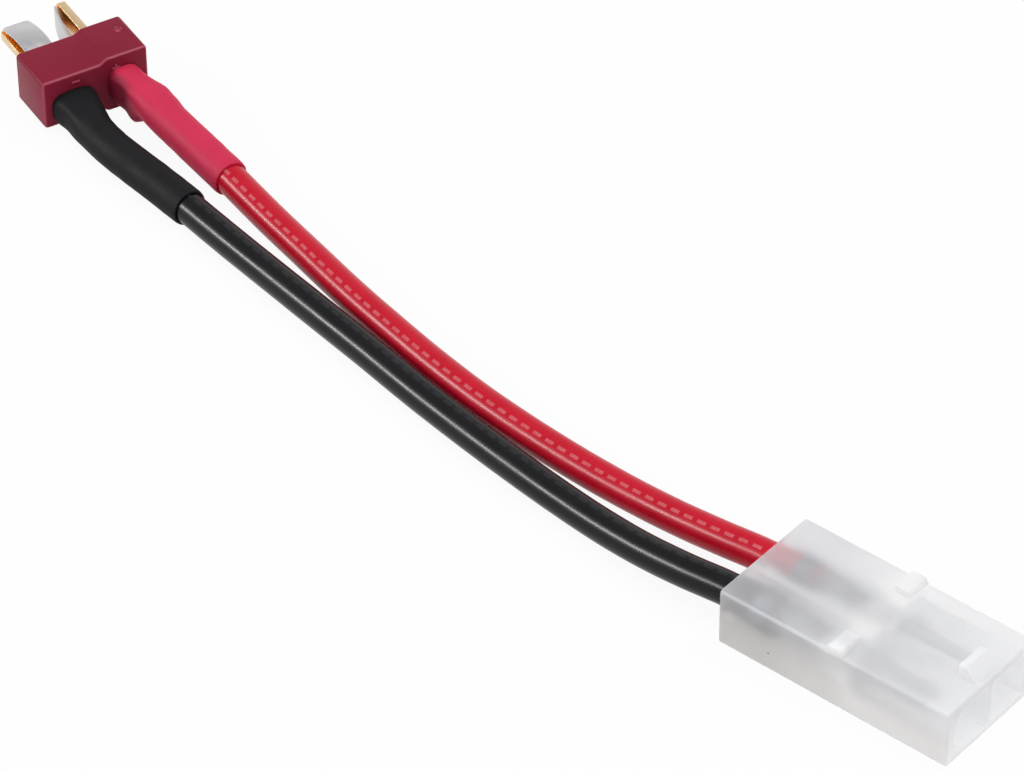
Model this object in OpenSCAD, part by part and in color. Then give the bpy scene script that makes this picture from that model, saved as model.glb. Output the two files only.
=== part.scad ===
// Adapter lead: a two-blade plug and a two-way nylon receptacle joined by a black and a red wire.
// Millimetres. +X runs along the receptacle toward its mating face, +Y across it from the black
// wire to the red one, +Z up. The origin is the middle of the receptacle's underside, and the
// whole lead lies on the plane z = 0.

/* [Plug housing] */
// Width across the thin and the thick half
plug_w = 13.3; // [12:0.1:15]
// Depth from the mating face to the wire face
plug_d = 6.8; // [5:0.1:9]
// Height of the thick half, round the upright blade
thick_h = 7.4; // [6.8:0.1:8.4]
// Height of the thin half, round the flat blade
thin_h = 6.35; // [5:0.1:6.6]
// Distance from the middle of the width to the start of the step between the halves
step_at = 0.5; // [0.2:0.1:0.7]
// Width of the S-shaped step between the halves
step_run = 1.2; // [0.6:0.1:1.6]
// Radius of the four long corners
plug_corner = 0.5; // [0.4:0.05:1]
// Rounding of the edges round both faces
plug_edge = 0.3; // [0.1:0.05:0.4]
// Width of the shallow round dimple on the thick half
dimple_d = 0.9; // [0.5:0.1:1.4]
// Depth of that dimple
dimple_depth = 0.25; // [0.1:0.05:0.4]

/* [Blades] */
// Width of each blade
blade_w = 3.8; // [3.2:0.1:4.4]
// Thickness of each blade and its solder tab
blade_t = 1; // [0.8:0.05:1.2]
// Length of each blade beyond the mating face
blade_out = 8.1; // [6:0.1:10]
// Corner radius of a blade's tip
tip_round = 0.5; // [0.2:0.1:0.9]
// Distance of the flat blade's middle from the middle of the plug
flat_blade_at = 2.9; // [2.6:0.1:3.1]
// Distance of the upright blade's middle from the middle of the plug
upright_blade_at = 3; // [2.8:0.1:3.6]
// Width of a solder tab
tab_w = 2.4; // [2.4:0.1:3]
// Length of a solder tab behind the wire face
tab_l = 3.2; // [2.8:0.1:4]
// Depth below the wire face at which a blade narrows to its tab
shoulder_depth = 1; // [0.6:0.1:2]
// Play of a blade in the housing, each side
blade_fit = 0.03; // [0.01:0.01:0.08]

/* [Blade springs] */
// Width of each leaf spring
spring_w = 3.4; // [2.4:0.1:3.8]
// Thickness of the spring strip
spring_t = 0.25; // [0.15:0.05:0.35]
// Corner radius of the spring's free end
spring_round = 0.6; // [0.2:0.1:0.9]
// Height of the bow's outer face above its blade
spring_bow = 1.2; // [0.9:0.1:1.7]
// Length of the spring's tail inside the housing
spring_tail = 1.3; // [0.8:0.1:2]
// Play between spring, blade and pocket
spring_fit = 0.03; // [0.01:0.01:0.08]
// Room beside and above the tail in its pocket
pocket_room = 0.15; // [0.1:0.05:0.3]

/* [Receptacle housing] */
// Length from the wire face to the mating face
socket_l = 28.5; // [27:0.5:34]
// Width across both chambers
socket_w = 14.3; // [13.8:0.1:16]
// Height without ribs and catch
socket_h = 7.2; // [6.8:0.1:8]
// Corner radius on the black wire's side
near_round = 0.6; // [0.3:0.1:1.6]
// Corner radius on the red wire's side
far_round = 0.3; // [0.1:0.05:0.6]
// Radius of the upright edge by the black wire, on the wire face
rear_round = 0.3; // [0.2:0.1:1.2]
// Distance between the two chambers' middles
chamber_pitch = 6.2; // [6:0.1:6.5]
// Thickness of the web between the chambers
web_t = 0.8; // [0.6:0.1:1]
// Thickness of the walls above and below the chambers
top_wall = 0.9; // [0.7:0.1:1.1]
// Corner radius of the black wire's chamber on its outer side
chamber_round = 1.9; // [1:0.1:2.3]
// Depth of the chambers from the mating face
chamber_depth = 13; // [12:0.5:15]
// Thickness of the partition that holds the contacts
partition_t = 3; // [2.5:0.1:3.5]

/* [Ribs and catch] */
// Height of the two guide ribs above the top
rib_h = 0.65; // [0.4:0.05:1.2]
// Length of a rib at its foot, along the housing
rib_l = 2.2; // [1.6:0.1:3.4]
// Slope of a rib's front and back, as the run from foot to top
rib_slope = 0.3; // [0.1:0.05:0.7]
// Width of the way between the ribs
rib_gap = 8.2; // [5:0.1:9]
// Height of the catch above the top
catch_h = 1.4; // [0.8:0.1:1.8]
// Width of the catch
catch_w = 3.7; // [2.8:0.1:5]
// Length of the catch at its foot
catch_l = 2.4; // [1.8:0.1:3]
// Length of the level top of the catch
catch_land = 0.9; // [0.4:0.1:1.4]
// Distance from the mating face to the foot of the catch
catch_setback = 0.4; // [0.2:0.1:1]

/* [Contacts] */
// Diameter of the contact pin
pin_d = 2.1; // [1.8:0.05:2.3]
// Distance of the pin's tip behind the mating face
pin_setback = 4.3; // [4.2:0.1:5]
// Diameter of the barrel that passes through the partition
barrel_d = 2.9; // [2.6:0.05:3.1]
// Play of the barrel in the partition, each side
barrel_fit = 0.1; // [0.05:0.05:0.2]
// Thickness of the contact's sheet metal
sheet_t = 0.3; // [0.2:0.05:0.35]
// Diameter of the shoulder that stops against the partition
stop_d = 3.9; // [3.7:0.1:4.1]
// Length of that shoulder
stop_l = 0.7; // [0.4:0.1:1]
// Gap between the partition and the shoulder, and between it and the tangs
seat_gap = 0.05; // [0.02:0.01:0.1]
// Length of the barrel beyond the partition
barrel_front = 2.3; // [2.2:0.1:2.8]
// Length of each locking tang
tang_l = 2; // [1.4:0.1:2.1]
// Width of each locking tang
tang_w = 1.2; // [0.8:0.1:1.4]
// How far a tang stands out beyond the barrel
tang_out = 0.7; // [0.5:0.05:0.9]
// Distance from the wire face to the insulation crimp
crimp_inset = 2.6; // [2:0.1:3]
// Length of the insulation crimp
grip_l = 2; // [1.4:0.1:2.4]
// Length of the conductor crimp
crimp_l = 3; // [2.4:0.1:3.4]
// Distance between the two crimps
crimp_gap = 1.2; // [0.8:0.1:1.6]
// Room round the insulation crimp in the wire bore
bore_room = 0.3; // [0.15:0.05:0.4]

/* [Wires and sleeves] */
// Outer diameter of a wire's insulation
wire_d = 3.7; // [3.4:0.05:3.9]
// Diameter of the bundle of copper strands
core_d = 1.9; // [1.6:0.05:2]
// Play between strands, insulation and what grips them
wire_fit = 0.05; // [0.03:0.01:0.1]
// Thickness of a heat-shrink sleeve
sleeve_wall = 0.3; // [0.25:0.01:0.45]
// Gap between a sleeve and the plug's wire face
sleeve_gap = 0.05; // [0.02:0.01:0.2]
// Height of the solder bead round the strands
solder_h = 1.3; // [1:0.1:1.5]
// Width of the solder bead where it meets the tab
solder_w = 2.3; // [2:0.1:2.4]

/* [Hidden] */
$fn = 48;

// The plug lies behind and beside the receptacle, turned a little toward it.
plug_x = -108.47;
plug_y = 16.8;
plug_turn = -19.6;
plug_mid = thick_h / 2;

// Free stretches of the wires, from the plug to the receptacle. X is counted from the wire face
// of the receptacle, Y from its middle, Z from the table.
black_route = [[-101, 11.3, 2.3], [-97, 10.6, 2.25], [-92.5, 9.9, 2.22], [-87, 8.9, 2.22],
    [-83, 8.2, 2.05], [-79, 7.5, 1.9], [-72, 6.2, 1.85], [-64, 4.7, 1.85], [-56, 3.2, 1.85],
    [-48, 1.6, 1.85], [-40, 0.2, 1.85], [-32, -1, 1.85], [-25, -1.9, 1.85], [-19, -2.6, 2.02],
    [-13, -3.2, 2.5], [-7, -3.4, 3.1], [-2, -3.2, 3.5]];
red_route = [[-98, 18.2, 3.05], [-93, 17.15, 2.55], [-87, 15.7, 2.25],
    [-83, 14.6, 2.05], [-79, 13.5, 1.9], [-72, 11.6, 1.85], [-64, 9.4, 1.85], [-56, 7.5, 1.85],
    [-48, 5.8, 1.85], [-40, 4.5, 1.85], [-32, 3.7, 1.85], [-25, 3.3, 1.85], [-19, 3.1, 2.02],
    [-13, 2.9, 2.5], [-7, 2.9, 3.1], [-2, 3.1, 3.5]];
// Points of each route that its sleeve covers
black_covered = 4;
red_covered = 3;
// Distance of the insulation's cut end from the plug's wire face
strip_at = tab_l + 1.7;
// Height of the red strands above the upright tab's middle
red_lift = 0.35;

// Sections of the sleeves over the solder tabs, as distance from the wire face, offset across
// the plug, offset up, half width, half height and squareness.
black_mouth = [[sleeve_gap, 0, -0.92, 2.8, 2.17, 2.8], [0.9, 0, -0.92, 2.7, 2.12, 3],
    [1.9, 0, -0.92, 2.45, 1.98, 3.4], [strip_at - 0.1, 0, -1.4, 2.25, 2.2, 2.2]];
red_mouth = [[sleeve_gap, 0.6, -0.3, 2.25, 2.4, 2.6], [1, 0.6, -0.3, 2.25, 2.45, 2.6],
    [2.2, 0.85, -0.42, 2.05, 2.5, 2.7], [4.2, 0.88, -0.42, 2.05, 2.5, 2.7],
    [strip_at - 0.1, 1.1, 0, 2.25, 2.25, 2]];

chamber_w = chamber_pitch - web_t;
chamber_h = socket_h - 2 * top_wall;
chamber_z = socket_h / 2;
grip_r = wire_d / 2 + wire_fit + sheet_t;
wire_bore_r = grip_r + bore_room;
neck_r = barrel_d / 2 + barrel_fit;
partition_front = socket_l - chamber_depth;
partition_back = partition_front - partition_t;
crimp_r = core_d / 2 + wire_fit + sheet_t;
crimp_x = crimp_inset + grip_l + crimp_gap;
rib_mid = partition_front - partition_t / 2 + 0.45;
nib = 0.2;
sleeve_r = wire_d / 2 + wire_fit + sleeve_wall;
wire_sides = 8;
sleeve_sides = 24;

function flat(list) = [for (part = list) for (item = part) item];
function unit(v) = v / norm(v);
function arc(cx, cy, r, from, to, steps) =
    [for (i = [0 : steps]) let (a = from + (to - from) * i / steps) [cx + r * cos(a), cy + r * sin(a)]];

// A point given in the plug's own frame: distance behind the wire face, across and up from its middle
function plug_point(u, v, z) = [plug_x + u * cos(plug_turn) - v * sin(plug_turn),
    plug_y + u * sin(plug_turn) + v * cos(plug_turn), plug_mid + z];

// Direction of travel at point i of a path
function heading(path, i) =
    unit(path[min(i + 1, len(path) - 1)] - path[max(i - 1, 0)]);

// A closed section square to the direction of travel: half width a, half height b, squareness p
function section(centre, travel, a, b, p, sides, turn) =
    let (side = unit(cross([0, 0, 1], travel)), up = cross(travel, side))
    [for (j = [0 : sides - 1])
        let (t = turn + 360 * j / sides, c = cos(t), s = sin(t))
        centre + side * a * sign(c) * pow(abs(c), 2 / p) + up * b * sign(s) * pow(abs(s), 2 / p)];

// Round sections of one radius along a path
function rings(path, r, sides) =
    [for (i = [0 : len(path) - 1]) section(path[i], heading(path, i), r, r, 2, sides, 180 / sides)];

// A solid skinned over sections that all have the same number of points
module loft(sections) {
    n = len(sections[0]);
    last = len(sections) - 1;
    polyhedron(flat(sections), concat(
        [for (i = [0 : last - 1]) for (j = [0 : n - 1])
            [i * n + j, (i + 1) * n + j, (i + 1) * n + (j + 1) % n, i * n + (j + 1) % n]],
        [[for (j = [0 : n - 1]) j]],
        [[for (j = [n - 1 : -1 : 0]) last * n + j]]));
}

// A hollow solid between an outer and an inner skin, open at both ends
module sheath(outer, inner) {
    n = len(outer[0]);
    last = len(outer) - 1;
    inside = (last + 1) * n;
    polyhedron(concat(flat(outer), flat(inner)), flat([
        [for (i = [0 : last - 1]) for (j = [0 : n - 1])
            [i * n + j, (i + 1) * n + j, (i + 1) * n + (j + 1) % n, i * n + (j + 1) % n]],
        [for (i = [0 : last - 1]) for (j = [0 : n - 1])
            [inside + i * n + (j + 1) % n, inside + (i + 1) * n + (j + 1) % n,
                inside + (i + 1) * n + j, inside + i * n + j]],
        [for (j = [0 : n - 1]) [j, (j + 1) % n, inside + (j + 1) % n, inside + j]],
        [for (j = [0 : n - 1]) [last * n + (j + 1) % n, last * n + j,
            inside + last * n + j, inside + last * n + (j + 1) % n]]]));
}

// Everything is drawn from the receptacle's wire face, then moved so that its middle is the origin
module in_lead() translate([-socket_l / 2, 0, 0]) children();

module in_plug() in_lead() translate(plug_point(0, 0, 0)) rotate([0, 0, plug_turn]) children();

// The upright blade's frame is the flat blade's, turned a quarter round the wires' direction
module at_flat_blade() in_plug() translate([0, -flat_blade_at, 0]) children();

module at_upright_blade() in_plug() translate([0, upright_blade_at, 0]) rotate([90, 0, 0]) children();

// Cross-section of the plug, its thin half at the left and its thick half at the right, drawn in by inset
function plug_outline(inset) =
    let (w = plug_w / 2 - inset, lo = thin_h / 2 - inset, hi = thick_h / 2 - inset,
        r = max(plug_corner - inset, 0.1), n = 6)
    flat([arc(-w + r, -lo + r, r, 180, 270, 4),
        [for (i = [0 : n]) [step_at + step_run * i / n, -lo - (hi - lo) * (1 - cos(180 * i / n)) / 2]],
        arc(w - r, -hi + r, r, 270, 360, 4),
        arc(w - r, hi - r, r, 0, 90, 4),
        [for (i = [n : -1 : 0]) [step_at + step_run * i / n, lo + (hi - lo) * (1 - cos(180 * i / n)) / 2]],
        arc(-w + r, lo - r, r, 90, 180, 4)]);

module plug_housing() color([0.62, 0.14, 0.24]) {
    face_turns = [0, 30, 60, 90];
    sections = concat(
        [for (a = face_turns) [-plug_d + plug_edge * (1 - cos(a)), plug_edge * (1 - sin(a))]],
        [for (i = [3 : -1 : 0]) let (a = face_turns[i]) [-plug_edge * (1 - cos(a)), plug_edge * (1 - sin(a))]]);
    difference() {
        in_plug() loft([for (s = sections) [for (p = plug_outline(s[1])) [s[0], p[0], p[1]]]]);
        at_flat_blade() blade_hole();
        at_upright_blade() blade_hole();
        in_plug() translate([-plug_d * 0.65, plug_w * 0.39, thick_h / 2 - dimple_depth])
            cylinder(d1 = dimple_d * 0.5, d2 = dimple_d, h = dimple_depth + nib, $fn = 24);
    }
}

// Plan of a blade and its solder tab, grown by a fit for the hole that it sits in
module blade_plan(grow) {
    w = blade_w / 2 + grow;
    t = tab_w / 2 + grow;
    front = -plug_d - blade_out;
    shoulder = -shoulder_depth + grow;
    polygon(concat(
        arc(front + tip_round, -w + tip_round, tip_round, 180, 270, 6),
        [[shoulder, -w], [shoulder, -t]],
        arc(tab_l - tip_round, -t + tip_round, tip_round, 270, 360, 6),
        arc(tab_l - tip_round, t - tip_round, tip_round, 0, 90, 6),
        [[shoulder, t], [shoulder, w]],
        arc(front + tip_round, w - tip_round, tip_round, 90, 180, 6)));
}

module blade() translate([0, 0, -blade_t / 2]) linear_extrude(blade_t) blade_plan(0);

// The way for a blade right through the housing, with a pocket at the mating face for the spring's tail
module blade_hole() {
    translate([0, 0, -blade_t / 2 - blade_fit]) linear_extrude(blade_t + 2 * blade_fit) blade_plan(blade_fit);
    pocket_h = spring_height(spring_place(0)) + spring_t + pocket_room;
    pocket_w = spring_w + 2 * pocket_room;
    translate([-plug_d - nib, -pocket_w / 2, 0])
        cube([spring_tail + pocket_room + nib, pocket_w, blade_t / 2 + pocket_h]);
}

// The bow runs from the blade's tip (place 0) to the end of its tail (place 1)
function spring_place(out) = (blade_out - out) / (blade_out + spring_tail);
function spring_height(place) = spring_fit + (spring_bow - spring_t) * sin(180 * place);

module spring() {
    steps = 20;
    reach = blade_out + spring_tail;
    low = [for (i = [0 : steps]) [-plug_d - blade_out + reach * i / steps,
        blade_t / 2 + spring_height(i / steps)]];
    tip = low[0][0];
    half_w = spring_w / 2;
    intersection() {
        rotate([90, 0, 0]) translate([0, 0, -half_w]) linear_extrude(spring_w)
            polygon(concat(low, [for (i = [steps : -1 : 0]) [low[i][0], low[i][1] + spring_t]]));
        linear_extrude(blade_t / 2 + spring_bow + nib) polygon(concat(
            [[tip + reach + nib, half_w + nib], [tip + spring_round, half_w + nib]],
            arc(tip + spring_round, half_w - spring_round, spring_round, 90, 180, 6),
            arc(tip + spring_round, -half_w + spring_round, spring_round, 180, 270, 6),
            [[tip + spring_round, -half_w - nib], [tip + reach + nib, -half_w - nib]]));
    }
}

module flat_blade() color([0.86, 0.66, 0.3]) at_flat_blade() blade();

module upright_blade() color([0.86, 0.66, 0.3]) at_upright_blade() blade();

module flat_blade_spring() color([0.8, 0.8, 0.82]) at_flat_blade() spring();

module upright_blade_spring() color([0.8, 0.8, 0.82]) at_upright_blade() spring();

// Strands under the flat tab, and beside the upright tab on its outer side
core_r = core_d / 2;
strands_from = 1.1;
strand_offset = blade_t / 2 + wire_fit + core_r;
black_tab_path = [for (u = [strands_from, tab_l]) plug_point(u, -flat_blade_at, -strand_offset)];
red_tab_path = [for (u = [strands_from, tab_l]) plug_point(u, upright_blade_at + strand_offset, red_lift)];
black_cut = plug_point(strip_at, -flat_blade_at, -strand_offset + 0.05);
red_cut = plug_point(strip_at, upright_blade_at + strand_offset - 0.4, red_lift - 0.35);

// The last stretch of each wire is straight, on its chamber's axis
function entry(side, xs) = [for (x = xs) [x, side * chamber_pitch / 2, chamber_z]];
insulation_end = [1.2, crimp_inset + grip_l + 0.1];
strands_end = [crimp_x + crimp_l + 0.3];
black_path = concat([black_cut], black_route, entry(-1, insulation_end));
red_path = concat([red_cut], red_route, entry(1, insulation_end));
black_strand_path = concat(black_tab_path, black_path, entry(-1, strands_end));
red_strand_path = concat(red_tab_path, red_path, entry(1, strands_end));

module insulation(path) sheath(rings(path, wire_d / 2, wire_sides), rings(path, core_r + wire_fit, wire_sides));

module black_wire() color([0.13, 0.13, 0.15]) in_lead() insulation(black_path);

module red_wire() color([0.8, 0.1, 0.14]) in_lead() insulation(red_path);

module black_strands() color([0.75, 0.73, 0.7]) in_lead() loft(rings(black_strand_path, core_r, wire_sides));

module red_strands() color([0.75, 0.73, 0.7]) in_lead() loft(rings(red_strand_path, core_r, wire_sides));

// A sleeve is shaped by the tab at its mouth and lies close on the wire beyond it
module sleeve(mouth, blade_at, route, covered) {
    tail = [for (i = [0 : covered - 1]) route[i]];
    centres = concat([for (m = mouth) plug_point(m[0], blade_at + m[1], m[2])], tail);
    along = concat(centres, [route[covered]]);
    function sizes(i) = i < len(mouth) ? [mouth[i][3], mouth[i][4], mouth[i][5]] : [sleeve_r, sleeve_r, 2];
    function skin(wall) = [for (i = [0 : len(centres) - 1]) let (s = sizes(i))
        section(centres[i], heading(along, i), s[0] - wall, s[1] - wall, s[2], sleeve_sides, 0)];
    sheath(skin(0), skin(sleeve_wall));
}

module black_sleeve() color([0.17, 0.17, 0.19]) in_lead()
    sleeve(black_mouth, -flat_blade_at, black_route, black_covered);

module red_sleeve() color([0.86, 0.2, 0.34]) in_lead()
    sleeve(red_mouth, upright_blade_at, red_route, red_covered);

// A solder bead round the strands' end and along both their sides, drawn on the tab's underside
module solder_bead(rise) {
    from = 0.35;
    length = tab_l - 0.75;
    difference() {
        translate([from, rise, -blade_t / 2 - wire_fit / 2]) rotate([0, 90, 0]) linear_extrude(length)
            polygon([[0, -solder_w / 2], [0, solder_w / 2], [solder_h * 0.5, solder_w * 0.36],
                [solder_h, solder_w * 0.3], [solder_h, -solder_w * 0.3], [solder_h * 0.5, -solder_w * 0.36]]);
        translate([strands_from - wire_fit, rise, -strand_offset]) rotate([0, 90, 0])
            cylinder(r = core_r + wire_fit / 2, h = tab_l);
    }
}

module flat_tab_solder() color([0.7, 0.7, 0.72]) at_flat_blade() solder_bead(0);

module upright_tab_solder() color([0.7, 0.7, 0.72]) at_upright_blade() solder_bead(red_lift);

// A rectangle w wide and h high on y = 0, with its left corners and its right corners rounded
module rounded_profile(w, h, left, right) {
    translate([-w / 2 + left, 0]) square([w - left - right, h]);
    translate([-w / 2, left]) square([w, h - left - max(left, right)]);
    translate([-w / 2 + w / 2, right]) square([w / 2, h - 2 * right]);
    for (z = [left, h - left]) translate([-w / 2 + left, z]) circle(left);
    for (z = [right, h - right]) translate([w / 2 - right, z]) circle(right);
}

module along_x(from, length) translate([from, 0, 0]) rotate([90, 0, 90]) linear_extrude(length) children();

module receptacle_housing() color([0.9, 0.9, 0.88, 0.6]) in_lead() difference() {
    union() {
        along_x(0, socket_l) rounded_profile(socket_w, socket_h, near_round, far_round);
        for (side = [-1, 1]) guide_rib(side);
        catch_wedge();
    }
    for (side = [-1, 1]) translate([0, side * chamber_pitch / 2, chamber_z]) rotate([0, 90, 0]) {
        translate([0, 0, -nib]) cylinder(r = wire_bore_r, h = partition_back + nib);
        cylinder(r = neck_r, h = partition_front + nib);
    }
    translate([0, -chamber_pitch / 2, top_wall]) along_x(partition_front, chamber_depth + nib)
        rounded_profile(chamber_w, chamber_h, chamber_round, 0.05);
    translate([partition_front, chamber_pitch / 2 - chamber_w / 2, top_wall])
        cube([chamber_depth + nib, chamber_w, chamber_h]);
    translate([0, -socket_w / 2, -nib]) difference() {
        translate([-nib, -nib, 0]) cube([rear_round + nib, rear_round + nib, socket_h + 2 * nib]);
        translate([rear_round, rear_round, 0]) cylinder(r = rear_round, h = socket_h + 2 * nib);
    }
}

// Two low ribs on the top guide the mating half's latch between them
module guide_rib(side) {
    rib_w = (socket_w - rib_gap) / 2;
    translate([rib_mid - rib_l / 2, side > 0 ? rib_gap / 2 + rib_w : -rib_gap / 2, socket_h])
        rotate([90, 0, 0]) linear_extrude(rib_w)
            polygon([[0, -near_round], [0, 0], [rib_slope, rib_h], [rib_l - rib_slope, rib_h],
                [rib_l, 0], [rib_l, -near_round]]);
}

// The wedge that the mating half's latch drops behind
module catch_wedge() {
    translate([socket_l - catch_setback - catch_l, catch_w / 2, socket_h])
        rotate([90, 0, 0]) linear_extrude(catch_w)
            polygon([[0, -nib], [0, catch_h], [catch_land, catch_h], [catch_l, 0], [catch_l, -nib]]);
}

module ring(r, wall, from, length) translate([from, 0, 0]) rotate([0, 90, 0]) difference() {
    cylinder(r = r, h = length);
    translate([0, 0, -nib]) cylinder(r = r - wall, h = length + 2 * nib);
}

// A stamped contact on the X axis: insulation crimp, conductor crimp, shoulder, barrel, tangs and pin
module contact() {
    barrel_r = barrel_d / 2;
    barrel_end = partition_front + barrel_front;
    pin_from = barrel_end + 0.6;
    pin_tip = socket_l - pin_setback;
    stop_x = partition_back - seat_gap - stop_l;
    difference() {
        ring(grip_r, sheet_t, crimp_inset, grip_l);
        translate([crimp_inset - nib, -0.15, 0]) cube([grip_l + 2 * nib, 0.3, grip_r + nib]);
    }
    contact_floor();
    conductor_crimp();
    difference() {
        ring(barrel_r, sheet_t, crimp_x + crimp_l - 0.1, stop_x - crimp_x - crimp_l + 0.2);
        translate([crimp_x + crimp_l - nib, -barrel_r, core_r * 0.6])
            cube([stop_x - crimp_x - crimp_l + nib, barrel_d, barrel_r]);
    }
    ring(stop_d / 2, stop_d / 2 - barrel_r + sheet_t, stop_x, stop_l);
    ring(barrel_r, sheet_t, stop_x, barrel_end - stop_x);
    for (side = [0, 180]) rotate([side, 0, 0]) tang(barrel_end - 0.2);
    translate([barrel_end, 0, 0]) rotate([0, 90, 0])
        cylinder(r1 = barrel_r, r2 = pin_d / 2, h = pin_from - barrel_end);
    translate([pin_from, 0, 0]) rotate([0, 90, 0]) cylinder(d = pin_d, h = pin_tip - pin_d / 2 - pin_from);
    translate([pin_tip - pin_d / 2, 0, 0]) sphere(d = pin_d);
}

// The strip of sheet under both crimps, which rises from the thick insulation to the thin strands
module contact_floor() {
    low = -grip_r;
    high = -crimp_r;
    from = crimp_inset + grip_l;
    floor_w = core_d;
    translate([0, floor_w / 2, 0]) rotate([90, 0, 0]) linear_extrude(floor_w)
        polygon([[from - 0.1, low], [from + 0.2, low], [crimp_x, high], [crimp_x + 0.1, high],
            [crimp_x + 0.1, high + sheet_t * 0.8], [crimp_x, high + sheet_t * 0.8],
            [from + 0.2, low + sheet_t * 0.8], [from - 0.1, low + sheet_t * 0.8]]);
}

// Both wings are rolled over the strands and meet in a groove along the top
module conductor_crimp() {
    lobe_r = crimp_r * 0.55;
    translate([crimp_x, 0, 0]) rotate([90, 0, 90]) linear_extrude(crimp_l) difference() {
        union() {
            circle(crimp_r);
            for (side = [-1, 1]) translate([side * lobe_r * 0.95, crimp_r - lobe_r * 0.7]) circle(lobe_r);
        }
        circle(core_r + wire_fit);
    }
}

// A lance cut from the barrel that springs out behind the partition
module tang(root) {
    barrel_r = barrel_d / 2;
    end = root - tang_l + 0.1;
    translate([0, 0, -tang_w / 2]) linear_extrude(tang_w)
        polygon([[root, barrel_r - sheet_t * 0.8], [root, barrel_r - 0.02], [end, barrel_r + tang_out],
            [end, barrel_r + tang_out - sheet_t * 0.8]]);
}

module at_chamber(side) in_lead() translate([0, side * chamber_pitch / 2, chamber_z]) children();

module black_contact() color([0.66, 0.66, 0.68]) at_chamber(-1) contact();

module red_contact() color([0.66, 0.66, 0.68]) at_chamber(1) contact();

plug_housing();
flat_blade();
flat_blade_spring();
upright_blade();
upright_blade_spring();
flat_tab_solder();
upright_tab_solder();
black_sleeve();
red_sleeve();
black_wire();
red_wire();
black_strands();
red_strands();
receptacle_housing();
black_contact();
red_contact();
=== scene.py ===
import math
import bpy
import bmesh
from mathutils import Matrix, Vector, noise


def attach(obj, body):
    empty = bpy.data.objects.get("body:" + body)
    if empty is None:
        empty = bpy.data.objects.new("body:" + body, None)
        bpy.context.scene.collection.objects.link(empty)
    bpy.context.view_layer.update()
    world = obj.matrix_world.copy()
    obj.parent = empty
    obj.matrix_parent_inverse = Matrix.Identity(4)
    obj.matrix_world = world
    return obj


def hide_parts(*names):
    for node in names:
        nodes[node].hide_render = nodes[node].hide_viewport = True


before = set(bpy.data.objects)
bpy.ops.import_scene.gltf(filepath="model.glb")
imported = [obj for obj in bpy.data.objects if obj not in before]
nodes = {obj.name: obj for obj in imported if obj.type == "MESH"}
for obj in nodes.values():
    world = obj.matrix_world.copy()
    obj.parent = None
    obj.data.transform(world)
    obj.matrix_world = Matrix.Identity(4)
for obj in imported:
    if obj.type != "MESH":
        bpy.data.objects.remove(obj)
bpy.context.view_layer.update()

mm = 0.001
scene = bpy.context.scene
scene.view_settings.view_transform = "Standard"


def place(name, mesh, node, angle=35):
    # every edge flatter than the angle is shaded smooth
    piece = bpy.data.objects.new(name, mesh)
    scene.collection.objects.link(piece)
    smoothBelow(mesh, angle)
    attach(piece, "root")
    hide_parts(node)
    return piece


def smoothBelow(mesh, angle):
    work = bmesh.new()
    work.from_mesh(mesh)
    for face in work.faces:
        face.smooth = True
    for edge in work.edges:
        edge.smooth = len(edge.link_faces) != 2 or edge.calc_face_angle(0) < math.radians(angle)
    work.to_mesh(mesh)
    work.free()


def hermite(a, b, slopeA, slopeB, t):
    t2, t3 = t * t, t * t * t
    return [(2 * t3 - 3 * t2 + 1) * pa + (t3 - 2 * t2 + t) * sa + (3 * t2 - 2 * t3) * pb + (t3 - t2) * sb
            for pa, pb, sa, sb in zip(a, b, slopeA, slopeB)]


def smoothRows(rows, step):
    # rows are lists of numbers that start with x, y, z; the curve passes through all of them
    where = [Vector(row[:3]) for row in rows]
    gap = [max((where[i + 1] - where[i]).length, 1e-6) for i in range(len(rows) - 1)]
    def slope(i):
        if i == 0:
            return [(b - a) / gap[0] for a, b in zip(rows[0], rows[1])]
        if i == len(rows) - 1:
            return [(b - a) / gap[-1] for a, b in zip(rows[-2], rows[-1])]
        low, high = gap[i - 1], gap[i]
        return [((b - a) / low * high + (c - b) / high * low) / (low + high)
                for a, b, c in zip(rows[i - 1], rows[i], rows[i + 1])]
    out = []
    for i in range(len(rows) - 1):
        count = max(1, round(gap[i] / step))
        slopeA = [s * gap[i] for s in slope(i)]
        slopeB = [s * gap[i] for s in slope(i + 1)]
        out += [hermite(rows[i], rows[i + 1], slopeA, slopeB, k / count) for k in range(count)]
    return out + [list(rows[-1])]


def directions(points):
    ahead = []
    for i in range(len(points)):
        a, b = points[max(i - 1, 0)], points[min(i + 1, len(points) - 1)]
        ahead.append((b - a).normalized())
    return ahead


def ringAt(centre, ahead, radii):
    # radii is a list of (across, up) offsets; across is level, up is square to it and to the path
    across = Vector((0, 0, 1)).cross(ahead).normalized()
    up = ahead.cross(across)
    return [centre + across * a + up * b for a, b in radii]


def wallTube(name, outer, inner, lengths):
    # a closed wall between two skins, with a map of length along and share around
    loops = outer + inner[::-1]
    along = lengths + lengths[::-1]
    sides = len(outer[0])
    mesh = bpy.data.meshes.new(name)
    faces, uvs = [], []
    for i in range(len(loops)):
        j = (i + 1) % len(loops)
        for k in range(sides):
            n = (k + 1) % sides
            faces.append((i * sides + k, j * sides + k, j * sides + n, i * sides + n))
            here, onward = k / sides, (k + 1) / sides
            uvs += [(along[i], here), (along[j], here), (along[j], onward), (along[i], onward)]
    mesh.from_pydata([v * mm for ring in loops for v in ring], [], faces)
    layer = mesh.uv_layers.new(name="alongAround")
    for loop, uv in zip(layer.data, uvs):
        loop.uv = uv
    outward(mesh)
    return mesh


def outward(mesh):
    work = bmesh.new()
    work.from_mesh(mesh)
    bmesh.ops.recalc_face_normals(work, faces=work.faces)
    work.to_mesh(mesh)
    work.free()


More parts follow.
